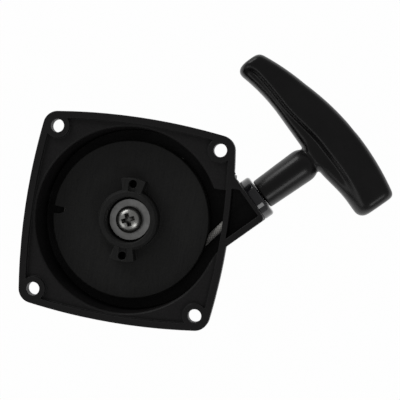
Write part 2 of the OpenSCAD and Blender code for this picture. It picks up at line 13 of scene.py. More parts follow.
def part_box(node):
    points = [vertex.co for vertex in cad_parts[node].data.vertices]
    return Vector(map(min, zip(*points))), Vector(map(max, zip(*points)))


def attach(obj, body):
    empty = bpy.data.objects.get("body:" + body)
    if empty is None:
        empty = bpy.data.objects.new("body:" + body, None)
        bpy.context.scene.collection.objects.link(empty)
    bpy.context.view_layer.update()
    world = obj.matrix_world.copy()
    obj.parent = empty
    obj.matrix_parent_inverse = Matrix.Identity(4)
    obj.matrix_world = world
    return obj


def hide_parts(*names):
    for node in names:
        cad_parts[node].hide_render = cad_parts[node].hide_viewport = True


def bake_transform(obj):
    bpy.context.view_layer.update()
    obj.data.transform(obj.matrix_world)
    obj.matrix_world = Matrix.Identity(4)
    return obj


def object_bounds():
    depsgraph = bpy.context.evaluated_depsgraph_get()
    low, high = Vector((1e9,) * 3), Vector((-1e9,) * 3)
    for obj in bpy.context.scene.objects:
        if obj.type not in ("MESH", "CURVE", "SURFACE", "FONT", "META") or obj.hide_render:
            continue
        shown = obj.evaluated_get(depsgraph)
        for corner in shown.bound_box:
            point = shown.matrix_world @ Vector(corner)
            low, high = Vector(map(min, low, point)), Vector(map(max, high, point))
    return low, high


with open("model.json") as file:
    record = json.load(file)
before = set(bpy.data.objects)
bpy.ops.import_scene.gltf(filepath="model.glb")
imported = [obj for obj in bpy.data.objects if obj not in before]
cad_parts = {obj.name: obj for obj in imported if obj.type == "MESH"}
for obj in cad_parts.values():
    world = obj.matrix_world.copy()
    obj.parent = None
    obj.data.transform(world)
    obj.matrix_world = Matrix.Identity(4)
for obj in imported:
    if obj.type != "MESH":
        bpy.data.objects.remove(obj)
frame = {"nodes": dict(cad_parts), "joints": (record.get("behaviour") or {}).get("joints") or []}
cad_low, cad_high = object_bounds()

MM = 0.001
scene = bpy.context.scene

# ---- places, worked out from the frame ----


def centre_of(node):
    low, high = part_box(node)
    return (low + high) / 2


def joint_named(name):
    return next(joint for joint in frame["joints"] if joint["name"] == name)


STEM_TO_KNOT = 40.4 * MM             # along the pull line, from the stem's foot to the middle of the knot
PULL = Vector(joint_named("handle_pull")["axis"]).normalized()
KNOT = centre_of("handle_knot")
STEM_FOOT = KNOT - PULL * STEM_TO_KNOT
PULL_ANGLE = math.atan2(PULL.y, PULL.x)
ON_PULL_LINE = Matrix.Translation(STEM_FOOT) @ Matrix.Rotation(PULL_ANGLE, 4, "Z")
ROPE_RADIUS = 1.55 * MM
OUTER_LAY = 29.7 * MM                # from the reel's axis to the middle of the rope in its outer lay
INNER_LAY = 17.55 * MM               # and in its inner lay
LAYS = 5
ROPE_BEND = math.radians(7.25)       # angle of the rope to the pull line, between reel and neck


# ---- edit mode ----


def work_on(piece):
    """Makes one piece the only one selected, and the active one."""
    bpy.ops.object.select_all(action="DESELECT")
    piece.select_set(True)
    bpy.context.view_layer.objects.active = piece


def edit(piece):
    work_on(piece)
    bpy.ops.object.mode_set(mode="EDIT")
    bpy.ops.mesh.select_all(action="SELECT")


def leave_edit():
    bpy.ops.object.mode_set(mode="OBJECT")


def named(name):
    """The active object, a primitive just added, under its own name."""
    piece = bpy.context.active_object
    piece.name = name
    piece.data.name = name
    return piece


def settle(piece, place=None):
    """Puts the piece's place into its mesh, with its object at the origin."""
    if place is not None:
        piece.matrix_world = place @ piece.matrix_world
    work_on(piece)
    bpy.ops.object.transform_apply(location=True, rotation=True, scale=True)
    return piece


def finish_with(piece, kind, **settings):
    """Adds a modifier with these settings and applies it."""
    modifier = piece.modifiers.new(kind.title(), kind)
    for key, value in settings.items():
        setattr(modifier, key, value)
    work_on(piece)
    bpy.ops.object.modifier_apply(modifier=modifier.name)


def cut_away(piece, tool):
    """Takes the tool's shape out of the piece, and removes the tool."""
    finish_with(piece, "BOOLEAN", operation="DIFFERENCE", object=tool, solver="EXACT")
    bpy.data.objects.remove(tool)


def smooth(piece, degrees=35):
    work_on(piece)
    bpy.ops.object.shade_smooth_by_angle(angle=math.radians(degrees))


def dress(piece, body, material, *stands_for, ride=True):
    """Gives a finished piece its material and the body that it rides on, and hides the CAD nodes that it stands
    for.
    """
    piece.data.materials.clear()
    piece.data.materials.append(material)
    if stands_for:
        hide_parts(*stands_for)
    if ride:
        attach(piece, body)
    return piece


MERGE = 0.02 * MM                    # points closer than this become one
SHORTEST_EDGE = 0.05 * MM            # once the flat faces are joined up
ONE_FLAT = math.radians(1)           # faces that turn less than this are one flat face
FIRST_SECTOR = 7                     # degrees from X to the normal of the first sector's plane


def softened(node, name, edge, sectors=0, limit=30):
    """A copy of a turned or moulded solid, with every sharp edge rounded off.

    Its flat faces are first joined up, in sectors about Z, so that each rounded edge runs in one piece."""
    source = frame["nodes"][node]
    piece = bpy.data.objects.new(name, source.data.copy())
    piece.data.name = name
    scene.collection.objects.link(piece)
    work_on(piece)
    bpy.ops.mesh.customdata_custom_splitnormals_clear()
    edit(piece)
    bpy.ops.mesh.remove_doubles(threshold=MERGE)
    for k in range(sectors):
        turn = math.radians(FIRST_SECTOR + 180 / sectors * k)
        bpy.ops.mesh.select_all(action="SELECT")
        bpy.ops.mesh.bisect(plane_co=(0, 0, 0), plane_no=(math.cos(turn), math.sin(turn), 0))
        bpy.ops.mesh.mark_seam()
    bpy.ops.mesh.select_all(action="SELECT")
    bpy.ops.mesh.dissolve_limited(angle_limit=ONE_FLAT, delimit={"SEAM"})
    bpy.ops.mesh.select_all(action="SELECT")
    bpy.ops.mesh.remove_doubles(threshold=SHORTEST_EDGE)
    bpy.ops.mesh.mark_seam(clear=True)
    leave_edit()
    smooth(piece, limit)
    finish_with(piece, "BEVEL", width=edge, segments=2, limit_method="ANGLE",
                angle_limit=math.radians(limit), use_clamp_overlap=False, miter_outer="MITER_ARC",
                harden_normals=True)
    return piece


def woven_grid(name, around, rings, place, repeats):
    """A grid bent into a tube, still open. place(j, i) puts ring i's point j; repeats(j, i) is its UV."""
    bpy.ops.object.select_all(action="DESELECT")
    bpy.ops.mesh.primitive_grid_add(x_subdivisions=around, y_subdivisions=rings - 1, size=1, calc_uvs=True)
    piece = named(name)
    mesh = piece.data
    for vertex in mesh.vertices:
        i, j = divmod(vertex.index, around + 1)
        vertex.co = place(j, i)
    uv = mesh.uv_layers.active.data
    for loop in mesh.loops:
        i, j = divmod(loop.vertex_index, around + 1)
        uv[loop.index].uv = repeats(j, i)
    return piece


def close_tube(piece):
    """Joins the tube along its seam, fills its two ends and points its faces outwards."""
    edit(piece)
    bpy.ops.mesh.remove_doubles(threshold=0.001 * MM)
    bpy.ops.mesh.select_all(action="DESELECT")
    bpy.ops.mesh.select_mode(type="EDGE")
    bpy.ops.mesh.select_non_manifold()
    bpy.ops.mesh.edge_face_add()
    bpy.ops.mesh.select_mode(type="VERT")
    bpy.ops.mesh.select_all(action="SELECT")
    bpy.ops.mesh.normals_make_consistent(inside=False)
    leave_edit()


# ---- materials ----


class Finish:
    """A material under construction: one Principled shader, and the nodes that feed it."""

    def __init__(self, name, slot):
        self.material = bpy.data.materials.new(name)
        self.material.use_nodes = True
        self.material["slot"] = slot
        self.tree = self.material.node_tree
        self.shader = self.tree.nodes["Principled BSDF"]

    def node(self, kind, **settings):
        made = self.tree.nodes.new(kind)
        for key, value in settings.items():
            if key in made.inputs:
                made.inputs[key].default_value = value
            else:
                setattr(made, key, value)
        return made

    def link(self, out, into):
        self.tree.links.new(out, into)

    def set(self, **sockets):
        for key, value in sockets.items():
            self.shader.inputs[key.replace("_", " ")].default_value = value

    def coordinates(self, stretch=(1, 1, 1), kind="Object"):
        mapping = self.node("ShaderNodeMapping", Scale=stretch)
        self.link(self.node("ShaderNodeTexCoord").outputs[kind], mapping.inputs["Vector"])
        return mapping.outputs["Vector"]

    def noise(self, scale, detail=3.0, stretch=(1, 1, 1), roughness=0.55):
        noise = self.node("ShaderNodeTexNoise", Scale=scale, Detail=detail, Roughness=roughness)
        self.link(self.coordinates(stretch), noise.inputs["Vector"])
        return noise.outputs["Fac"]

    def span(self, value, low, high, source=(0.3, 0.7)):
        """Maps a 0 to 1 pattern onto low to high."""
        spread = self.node("ShaderNodeMapRange")
        spread.inputs["From Min"].default_value = source[0]
        spread.inputs["From Max"].default_value = source[1]
        spread.inputs["To Min"].default_value = low
        spread.inputs["To Max"].default_value = high
        self.link(value, spread.inputs["Value"])
        return spread.outputs["Result"]

    def between(self, share, dark, light):
        mix = self.node("ShaderNodeMix", data_type="RGBA")
        self.link(share, mix.inputs["Factor"])
        for socket, colour in ((mix.inputs["A"], dark), (mix.inputs["B"], light)):
            if isinstance(colour, tuple):
                socket.default_value = (*colour, 1)
            else:
                self.link(colour, socket)
        return mix.outputs["Result"]

    def edges(self, radius):
        """0 on a flat, and up to 1 on an edge of the piece."""
        rounded = self.node("ShaderNodeBevel", samples=6, Radius=radius)
        geometry = self.node("ShaderNodeNewGeometry")
        dot = self.node("ShaderNodeVectorMath", operation="DOT_PRODUCT")
        self.link(rounded.outputs["Normal"], dot.inputs[0])
        self.link(geometry.outputs["Normal"], dot.inputs[1])
        return self.span(dot.outputs["Value"], 0.0, 1.0, (0.995, 0.88))

    def open_to_light(self, reach):
        """1 on an open surface, down to 0 deep in a recess: the mask for shade painted into recesses."""
        hollow = self.node("ShaderNodeAmbientOcclusion", samples=8, Distance=reach)
        return self.span(hollow.outputs["AO"], 0.0, 1.0, (0.35, 0.8))

    def colour(self, out):
        self.link(out, self.shader.inputs["Base Color"])

    def rough(self, out):
        self.link(out, self.shader.inputs["Roughness"])

    def bump(self, height, depth, after=None):
        bump = self.node("ShaderNodeBump", Strength=1.0, Distance=depth)
        self.link(height, bump.inputs["Height"])
        if after is not None:
            self.link(after, bump.inputs["Normal"])
        self.link(bump.outputs["Normal"], self.shader.inputs["Normal"])
        return bump.outputs["Normal"]


def moulded_plastic():
    """Glass-filled nylon of the housing: black and finely speckled, with a highlight painted on its edges as a
    lighter colour.
    """
    f = Finish("moulded_plastic", "housing_plastic")
    f.set(Specular_IOR_Level=0.29)
    speckle = f.noise(1500, 4.0)
    cloud = f.noise(60, 2.0)
    black = f.between(f.span(speckle, 0, 1), (0.0095, 0.009, 0.0095), (0.0185, 0.0175, 0.018))
    # painted highlight: every edge of the piece gets a lighter colour
    painted_edge_light = f.between(f.edges(0.5 * MM), black, (0.035, 0.035, 0.036))
    f.colour(painted_edge_light)
    f.rough(f.span(cloud, 0.42, 0.56))
    f.bump(speckle, 0.05 * MM)
    return f.material


def reel_plastic():
    """The reel's duller plastic, with flow lines across its face and a highlight painted on its edges."""
    f = Finish("reel_plastic", "reel_plastic")
    f.set(Specular_IOR_Level=0.35)
    flow = f.noise(1.0, 3.0, (1700, 110, 600))
    grain = f.noise(1300, 4.0)
    black = f.between(f.span(grain, 0, 1), (0.007, 0.007, 0.007), (0.015, 0.015, 0.0145))
    streaked = f.between(f.span(flow, 0, 0.55), black, (0.026, 0.026, 0.025))
    # painted highlight: every edge of the piece gets a lighter colour
    f.colour(f.between(f.edges(0.5 * MM), streaked, (0.04, 0.04, 0.039)))
    f.rough(f.span(flow, 0.5, 0.66))
    f.bump(grain, 0.045 * MM, f.bump(flow, 0.05 * MM))
    return f.material


def grip_plastic():
    """Polished black of the T-handle, with faint rub marks."""
    f = Finish("grip_plastic", "grip_plastic")
    f.set(Specular_IOR_Level=0.37, Coat_Weight=0.12, Coat_Roughness=0.16)
    rubs = f.noise(90, 5.0, (1, 1, 1), 0.7)
    fine = f.noise(900, 3.0)
    f.colour(f.between(f.span(rubs, 0, 1), (0.0035, 0.0033, 0.0036), (0.0068, 0.0062, 0.0065)))
    f.rough(f.span(rubs, 0.27, 0.38))
    f.bump(fine, 0.012 * MM)
    return f.material


def guide_plastic():
    """Hard glossy black of the guide ring."""
    f = Finish("guide_plastic", "guide_plastic")
    f.set(Specular_IOR_Level=0.6, Coat_Weight=0.55, Coat_Roughness=0.09)
    film = f.noise(300, 3.0)
    f.colour(f.between(f.span(film, 0, 1), (0.012, 0.012, 0.015), (0.02, 0.02, 0.024)))
    f.rough(f.span(film, 0.1, 0.18))
    f.bump(film, 0.01 * MM)
    return f.material


# colour of the painted shade deep in a metal's recesses
RECESS_SHADE = (0.03, 0.028, 0.026)


def metal(name, slot, dark, light, roughness, grain, stretch=(1, 1, 1), depth=0.01 * MM, shaded_recesses=False):
    """A plated or drawn metal, cloudy in colour and grained in gloss. One with shaded recesses gets painted
    shade, a dark colour deep in its recesses.
    """
    f = Finish(name, slot)
    f.set(Metallic=1.0)
    pattern = f.noise(grain, 4.0, stretch)
    cloud = f.noise(260, 2.0)
    bright = f.between(f.span(cloud, 0, 1), dark, light)
    # painted shade: the colour goes dark deep in recesses, where the ambient occlusion is low
    f.colour(f.between(f.open_to_light(1.6 * MM), RECESS_SHADE, bright) if shaded_recesses else bright)
    f.rough(f.span(pattern, *roughness))
    f.bump(pattern, depth)
    return f.material


def nylon():
    """Milky nylon of the thrust washers."""
    f = Finish("nylon", "nylon")
    f.set(Subsurface_Weight=0.1, Subsurface_Scale=0.5 * MM)
    cloud = f.noise(400, 3.0)
    f.colour(f.between(f.span(cloud, 0, 1), (0.56, 0.53, 0.44), (0.68, 0.66, 0.58)))
    f.rough(f.span(cloud, 0.38, 0.5))
    f.bump(cloud, 0.01 * MM)
    return f.material


YARNS = 8                            # diamonds of the braid round the rope
DIAMOND = 1.5 * MM                   # length of one diamond along the rope


def braided_rope():
    """Off-white braid, with shade painted grey between its yarns. Its UV map runs round it in yarns, along it
    in diamonds.
    """
    f = Finish("braided_rope", "rope")
    f.set(Sheen_Weight=0.6, Sheen_Roughness=0.5)
    place = f.coordinates(kind="UV")
    fibres = f.node("ShaderNodeTexNoise", Scale=2.2, Detail=4.0)
    f.link(place, fibres.inputs["Vector"])
    parts = f.node("ShaderNodeSeparateXYZ")
    f.link(place, parts.inputs["Vector"])
    lean = []
    for operation in ("ADD", "SUBTRACT"):
        slant = f.node("ShaderNodeMath", operation=operation)
        f.link(parts.outputs["X"], slant.inputs[0])
        f.link(parts.outputs["Y"], slant.inputs[1])
        turn = f.node("ShaderNodeMath", operation="MULTIPLY")
        turn.inputs[1].default_value = math.pi
        f.link(slant.outputs[0], turn.inputs[0])
        wave = f.node("ShaderNodeMath", operation="SINE")
        f.link(turn.outputs[0], wave.inputs[0])
        size = f.node("ShaderNodeMath", operation="ABSOLUTE")
        f.link(wave.outputs[0], size.inputs[0])
        lean.append(size.outputs[0])
    weave = f.node("ShaderNodeMath", operation="MULTIPLY")
    f.link(lean[0], weave.inputs[0])
    f.link(lean[1], weave.inputs[1])
    fibre = f.span(fibres.outputs["Fac"], 0, 1, (0.35, 0.65))
    yarn = f.between(fibre, (0.6, 0.59, 0.56), (0.95, 0.93, 0.89))
    # painted shade: grey where the weave pattern falls between the yarns
    f.colour(f.between(f.span(weave.outputs[0], 0, 1, (0.0, 0.45)), (0.32, 0.31, 0.29), yarn))
    f.rough(f.span(fibres.outputs["Fac"], 0.75, 0.95))
    f.bump(fibres.outputs["Fac"], 0.06 * MM)
    return f.material


# ---- stage ----


def lit_only_for(tree, *kinds):
    """1 for rays of these kinds, as one socket."""
    path = tree.nodes.new("ShaderNodeLightPath")
    total = path.outputs[kinds[0]]
    for kind in kinds[1:]:
        most = tree.nodes.new("ShaderNodeMath")
        most.operation = "MAXIMUM"
        tree.links.new(total, most.inputs[0])
        tree.links.new(path.outputs[kind], most.inputs[1])
        total = most.outputs[0]
    return total


HORIZON_LIGHT, CEILING_LIGHT = 0.34, 0.19
CEILING_HEIGHT = 0.7                 # height of the direction above which the ceiling's light is even


def studio_world():
    """A white background, and a soft light that fades from the horizon to a darker ceiling."""
    world = bpy.data.worlds.new("studio")
    scene.world = world
    world.use_nodes = True
    tree = world.node_tree
    background = tree.nodes["Background"]
    background.inputs["Color"].default_value = (1, 1, 1, 1)
    direction = tree.nodes.new("ShaderNodeTexCoord")
    parts = tree.nodes.new("ShaderNodeSeparateXYZ")
    fade = tree.nodes.new("ShaderNodeMapRange")
    fade.inputs["From Min"].default_value = 0.0
    fade.inputs["From Max"].default_value = CEILING_HEIGHT
    fade.inputs["To Min"].default_value = HORIZON_LIGHT
    fade.inputs["To Max"].default_value = CEILING_LIGHT
    show = tree.nodes.new("ShaderNodeMix")
    show.inputs["B"].default_value = 1.0
    tree.links.new(direction.outputs["Generated"], parts.inputs["Vector"])
    tree.links.new(parts.outputs["Z"], fade.inputs["Value"])
    tree.links.new(fade.outputs["Result"], show.inputs["A"])
    tree.links.new(lit_only_for(tree, "Is Camera Ray", "Is Transmission Ray"), show.inputs["Factor"])
    tree.links.new(show.outputs["Result"], background.inputs["Strength"])


FLOOR_GAP = 0.05 * MM                # keeps the floor off the flat back of the housing
FLOOR_GLOW = 0.985                   # share of plain white in the floor that the camera and reflections see


def studio_floor():
    bpy.ops.object.select_all(action="DESELECT")
    bpy.ops.mesh.primitive_plane_add(size=8, location=(0, 0, cad_low[2] - FLOOR_GAP))
    floor = named("floor")
    material = bpy.data.materials.new("pale_floor")
    material.use_nodes = True
    tree = material.node_tree
    paper = tree.nodes["Principled BSDF"]
    paper.inputs["Base Color"].default_value = (0.9, 0.9, 0.9, 1)
    paper.inputs["Roughness"].default_value = 0.9
    paper.inputs["Specular IOR Level"].default_value = 0.1
    glow = tree.nodes.new("ShaderNodeEmission")
    mix = tree.nodes.new("ShaderNodeMixShader")
    share = tree.nodes.new("ShaderNodeMath")
    share.operation = "MULTIPLY"
    share.inputs[1].default_value = FLOOR_GLOW
    seen = lit_only_for(tree, "Is Camera Ray", "Is Glossy Ray", "Is Transmission Ray")
    tree.links.new(seen, share.inputs[0])
    tree.links.new(share.outputs[0], mix.inputs["Fac"])
    tree.links.new(paper.outputs["BSDF"], mix.inputs[1])
    tree.links.new(glow.outputs["Emission"], mix.inputs[2])
    tree.links.new(mix.outputs["Shader"], tree.nodes["Material Output"].inputs["Surface"])
    floor.data.materials.append(material)


LAMP_DISTANCE = 0.9


def softbox(name, azimuth, elevation, width, height, power):
    """A rectangular lamp that faces the object, at this azimuth and elevation in degrees."""
    lamp = bpy.data.lights.new(name, "AREA")
    lamp.shape = "RECTANGLE"
    lamp.size = width
    lamp.size_y = height
    lamp.energy = power
    stand = bpy.data.objects.new(name, lamp)
    scene.collection.objects.link(stand)
    around, up = math.radians(azimuth), math.radians(elevation)
    away = Vector((math.cos(around) * math.cos(up), math.sin(around) * math.cos(up), math.sin(up)))
    middle = (cad_low + cad_high) / 2
    stand.location = middle + away * LAMP_DISTANCE
    stand.rotation_euler = (-away).to_track_quat("-Z", "Y").to_euler()


CAMERA_PLACE = (0.07807, 0.02474, 0.44374)
CAMERA_TURN = (-0.0082, 0.1089, 0.1548)     # in radians, about X, Y and Z
FOCAL_LENGTH = 93.7                         # in millimetres, for a sensor 36 mm wide


def camera():
    lens = bpy.data.cameras.new("camera")
    lens.lens = FOCAL_LENGTH
    lens.clip_start = 0.01
    stand = bpy.data.objects.new("camera", lens)
    stand.location = CAMERA_PLACE
    stand.rotation_euler = CAMERA_TURN
    scene.collection.objects.link(stand)
    scene.camera = stand


scene.view_settings.view_transform = "Standard"
camera()
studio_world()
studio_floor()
softbox("left_box", 134, 24, width=0.5, height=0.35, power=1.6)
softbox("right_box", -46, 44, width=0.3, height=0.3, power=0.7)
softbox("near_box", 222, 34, width=0.45, height=0.3, power=0.35)

housing_finish = moulded_plastic()
reel_finish = reel_plastic()
grip_finish = grip_plastic()
guide_finish = guide_plastic()
zinc_washer = metal("zinc_washer", "washer_zinc", (0.55, 0.55, 0.54), (0.7, 0.7, 0.69), (0.38, 0.5), 700)
# the screws get painted shade in their recesses, such as the cross in the head
zinc_screw = metal("zinc_screw", "screw_zinc", (0.4, 0.4, 0.38), (0.56, 0.56, 0.54), (0.26, 0.36), 900,
                   shaded_recesses=True)
plain_steel = metal("plain_steel", "steel", (0.42, 0.42, 0.43), (0.55, 0.55, 0.56), (0.28, 0.42), 1.0,
                    (300, 2600, 300))
blue_steel = metal("blue_steel", "spring_steel", (0.16, 0.18, 0.22), (0.28, 0.3, 0.34), (0.25, 0.4), 1.0,
                   (400, 400, 3000))
turned_brass = metal("turned_brass", "brass", (0.6, 0.42, 0.16), (0.75, 0.55, 0.24), (0.22, 0.36), 1.0,
                     (300, 300, 4000))
milky_nylon = nylon()
rope_finish = braided_rope()


# ---- moulded and turned pieces ----

dress(softened("housing", "starter_housing", edge=0.3 * MM, sectors=8),
      "housing", housing_finish, "housing")
dress(softened("reel", "pull_reel", edge=0.25 * MM, sectors=8), "reel", reel_finish, "reel")
dress(softened("retaining_washer", "hub_washer", edge=0.25 * MM, sectors=4),
      "housing", zinc_washer, "retaining_washer")
dress(softened("lock_washer", "spring_lock_washer", edge=0.1 * MM), "housing", blue_steel, "lock_washer")

# these nodes keep their own shape
for node, finish in {
        "threaded_insert": turned_brass, "post_sleeve": plain_steel, "spring_cup": plain_steel,
        "spring_rivet": plain_steel, "recoil_spring": blue_steel, "spring_cover": plain_steel,
        "cover_screws": zinc_screw, "lower_thrust_washer": milky_nylon, "upper_thrust_washer": milky_nylon,
        "rope_guide": guide_finish, "reel_bush": turned_brass, "reel_knot": rope_finish,
        "handle_knot": rope_finish, "knot_washer": plain_steel, "handle_cap": grip_finish}.items():
    slots = frame["nodes"][node].data.materials
    if len(slots):
        slots[0] = finish
    else:
        slots.append(finish)


# ---- centre screw ----
# Its sizes are in millimetres.

ROUND = 96                           # points round the screw, and round the handle's stem
SHANK_RADIUS = 2.95
HEAD_HEIGHT = 3.8
POLE_RADIUS = 0.05                   # of the tiny face that closes each end
# radius, and height over the head's seat
HEAD_PROFILE = ((3.0, 0.0), (6.0, 0.0), (6.0, 0.4), (5.86, 0.95), (5.55, 1.6), (5.1, 2.15), (4.5, 2.65),
                (3.8, 3.07), (3.0, 3.4), (2.1, 3.64), (1.1, 3.77), (POLE_RADIUS, HEAD_HEIGHT))
RECESS_ANGLE = math.radians(24)
RECESS_TOP, RECESS_FLOOR = (6.8, 2.2), (3.4, 1.0)    # length and width of one bar of the cross
RECESS_DEPTH = 3.1
OVER_HEAD = 0.5                      # how far the bar that cuts the cross stands over the head


def recess_arm(name, top, axis, turn):
    """One bar of the cross: a block with its floor drawn in."""
    bpy.ops.object.select_all(action="DESELECT")
    bpy.ops.mesh.primitive_cube_add(size=1)
    bar = named(name)
    for vertex in bar.data.vertices:
        high = vertex.co.z > 0
        length, width = RECESS_TOP if high else RECESS_FLOOR
        vertex.co = Vector((math.copysign(length / 2, vertex.co.x), math.copysign(width / 2, vertex.co.y),
                            OVER_HEAD if high else -RECESS_DEPTH)) * MM
    return settle(bar, Matrix.Translation((axis.x, axis.y, top)) @ Matrix.Rotation(turn, 4, "Z"))


def pan_head_screw():
    low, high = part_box("centre_screw")
    axis = (low + high) / 2
    seat = high.z - HEAD_HEIGHT * MM
    shank = [(POLE_RADIUS * MM, low.z), (SHANK_RADIUS * MM, low.z), (SHANK_RADIUS * MM, seat)]
    profile = shank + [(radius * MM, seat + z * MM) for radius, z in HEAD_PROFILE]

    def place(j, i):
        turn = 2 * math.pi * j / ROUND
        radius, z = profile[i]
        return Vector((axis.x + radius * math.cos(turn), axis.y + radius * math.sin(turn), z))

    screw = woven_grid("hub_screw", ROUND, len(profile), place, lambda j, i: (j, i))
    close_tube(screw)
    for k in range(2):
        cut_away(screw, recess_arm("recess_arm", high.z, axis, RECESS_ANGLE + k * math.pi / 2))
    smooth(screw, 30)
    return screw


dress(pan_head_screw(), "housing", zinc_screw, "centre_screw")


# ---- T-handle ----
# In the handle's own frame, in millimetres: x along the pull from the stem's foot, y to its left, z up.

LONG_END, SHORT_END = 51.1, -33.8
LONG_ROUND, SHORT_ROUND = 3.0, 4.5   # rounding of the two ends, seen from the side
FINGER_ROUND, PALM_ROUND = 4.2, 2.0  # rounding of their inner and outer corners, seen from above
END_GAP = 0.02                       # from each end to the last section
HALF_THICK = 8.5                     # half of the palm side's thickness
BAND = 5.9                           # half of the finger side's thickness
FINGER_SIDE = 26.3                   # x of the finger side, along the near half of the long arm
RIDGE = 34.3                         # x of the ridge over the stem, where the grip steps up to its palm side
STEP = ((-2.4, 5.6), (-1.7, 5.65), (-1.1, 6.2), (-0.5, 7.05), (0, 7.8), (0.6, 8.25),
        (1.4, HALF_THICK))           # the step: x from the ridge, and half of the thickness
PALM_RADIUS = 118                    # of the palm side's arc
PALM_CENTRE_X, PALM_CENTRE_Y = -68.9, -8
PALM_EDGE = 3.6                      # rounding of the palm side's two long edges
FOOT_RADIUS, STEM_RADIUS, DOME_RADIUS = 6.65, 6.9, 7.45
FOOT_BEVEL, STEM_LENGTH = 0.3, 21.35 # height of the bevel at the foot, and length up to the dome
HANDLE_BORES = (                     # radius, start and end along the pull
    ("rope_bore", 1.9, -1, 37),
    ("knot_pocket", 4.3, 36, 60),
    ("cap_recess", 6.02, 46.3, 60))
VOXEL = 0.34 * MM
FILLET_REACH = 2.2 * MM              # the fillet is whole to 0.6 of this from both surfaces and ends at 1.6


def smoothstep(t):
    t = min(1, max(0, t))
    return t * t * (3 - 2 * t)


def grip_half_section(y):
    """Points (x, z) from the finger side over the top to the palm, at this place along the grip."""
    # the finger side curls back towards the housing at the long end, and lies further out on the short arm
    inner = FINGER_SIDE - 0.006 * max(0, y - 24) ** 2 + 2.3 * smoothstep((-y - 4) / 20)
    inner -= 1.0 * (1 - smoothstep((abs(y) - 3) / 3))   # runs into the dome, inside the stem's width
    # the ridge comes back along the long arm, and more so at its end
    ridge = RIDGE - 0.04 * y - 2.3 * smoothstep((y - 3) / 23) - 0.0035 * max(0, y - 30) ** 2
    outer = PALM_CENTRE_X + math.sqrt(PALM_RADIUS ** 2 - (y - PALM_CENTRE_Y) ** 2) + 0.075 * max(0, y - 28)
    # the finger side's rounding is smallest beside the stem
    nose = min(3.4 + 1.6 * smoothstep((abs(y) - 4) / 6), 0.66 * (ridge - inner))
    quarter = [math.radians(15 * k) for k in range(7)]
    points = [(inner + nose - nose * math.cos(turn), BAND * math.sin(turn)) for turn in quarter]
    points += [(ridge + x, z) for x, z in STEP]
    full = ridge + STEP[-1][0]
    # the step fades into one round side along the short arm, and close to the long arm's end
    fade = max(smoothstep((-y - 8) / 22), smoothstep((y - 44) / 6))
    reach = full - inner
    for k, (x, z) in enumerate(points):
        turn = math.pi / 2 * k / (len(points) - 1)
        points[k] = (x + (inner + reach * (1 - math.cos(turn)) - x) * fade,
                     z + (HALF_THICK * math.sin(turn) - z) * fade)
    flat = outer - PALM_EDGE
    points += [(full + (flat - full) * k / 5, HALF_THICK) for k in range(1, 6)]
    points += [(flat + PALM_EDGE * math.sin(turn), HALF_THICK - PALM_EDGE + PALM_EDGE * math.cos(turn))
               for turn in quarter[1:]]
    return points + [(outer, 0)]


def drawn_in(gap, radius):
    """How far a round corner lies inside the square one, at this gap from the end."""
    t = max(0, 1 - gap / radius)
    return radius * (1 - math.sqrt(max(0, 1 - t * t)))


def grip_section(y):
    """The whole closed section, drawn in where an end of the grip rounds off."""
    half = grip_half_section(y)
    loop = half + [(x, -z) for x, z in reversed(half[1:-1])] + [half[0]]
    gap, side_round = min((LONG_END - y, LONG_ROUND), (y - SHORT_END, SHORT_ROUND))
    middle = (half[0][0] + half[-1][0]) / 2
    finger_side = 1 - drawn_in(gap, FINGER_ROUND) / (middle - half[0][0])
    palm_side = 1 - drawn_in(gap, PALM_ROUND) / (half[-1][0] - middle)
    up = 1 - drawn_in(gap, side_round) / HALF_THICK
    return [(middle + (x - middle) * (finger_side if x < middle else palm_side), z * up) for x, z in loop]


def grip_stations():
    """Places along the grip, close together where an end rounds off."""
    end = [1 - math.cos(math.radians(10 * k)) for k in range(1, 9)]
    low = [SHORT_END + END_GAP] + [SHORT_END + SHORT_ROUND * t for t in end]
    high = [LONG_END - FINGER_ROUND * t for t in reversed(end)] + [LONG_END - END_GAP]
    count = 60
    return low + [low[-1] + (high[0] - low[-1]) * k / count for k in range(1, count)] + high


def grip_bar():
    sections = [(y, grip_section(y)) for y in grip_stations()]
    around = len(sections[0][1]) - 1
    bar = woven_grid("grip_bar", around, len(sections),
                     lambda j, i: Vector((sections[i][1][j][0], sections[i][0], sections[i][1][j][1])) * MM,
                     lambda j, i: (j, i))
    close_tube(bar)
    return bar


def grip_stem():
    """The round stem, from its foot to the dome that ends in the grip."""
    profile = [(0, FOOT_RADIUS), (FOOT_BEVEL, STEM_RADIUS)]
    for k in range(1, 13):
        profile.append((FOOT_BEVEL + (STEM_LENGTH - FOOT_BEVEL) * k / 12,
                        STEM_RADIUS + (DOME_RADIUS - STEM_RADIUS) * k / 12))
    for degrees in range(8, 89, 8):
        turn = math.radians(degrees)
        profile.append((STEM_LENGTH + DOME_RADIUS * math.sin(turn), DOME_RADIUS * math.cos(turn)))

    def place(j, i):
        turn = 2 * math.pi * j / ROUND
        x, radius = profile[i]
        return Vector((x, radius * math.cos(turn), radius * math.sin(turn))) * MM

    stem = woven_grid("grip_stem", ROUND, len(profile), place, lambda j, i: (j, i))
    close_tube(stem)
    return stem


def rod_along_pull(name, radius, start, end):
    """A round tool along the pull, from start to end in the handle's frame."""
    bpy.ops.object.select_all(action="DESELECT")
    bpy.ops.mesh.primitive_cylinder_add(vertices=64, radius=radius * MM, depth=(end - start) * MM,
                                        location=((start + end) / 2 * MM, 0, 0), rotation=(0, math.pi / 2, 0))
    return settle(named(name))


def near_both(piece, first, second, reach):
    """Marks the points of the piece that lie near both surfaces, which is where they meet."""
    group = piece.vertex_groups.new(name="fillet")
    for vertex in piece.data.vertices:
        away = max(first.find_nearest(vertex.co)[3], second.find_nearest(vertex.co)[3])
        group.add([vertex.index], smoothstep(1.6 - away / reach), "REPLACE")


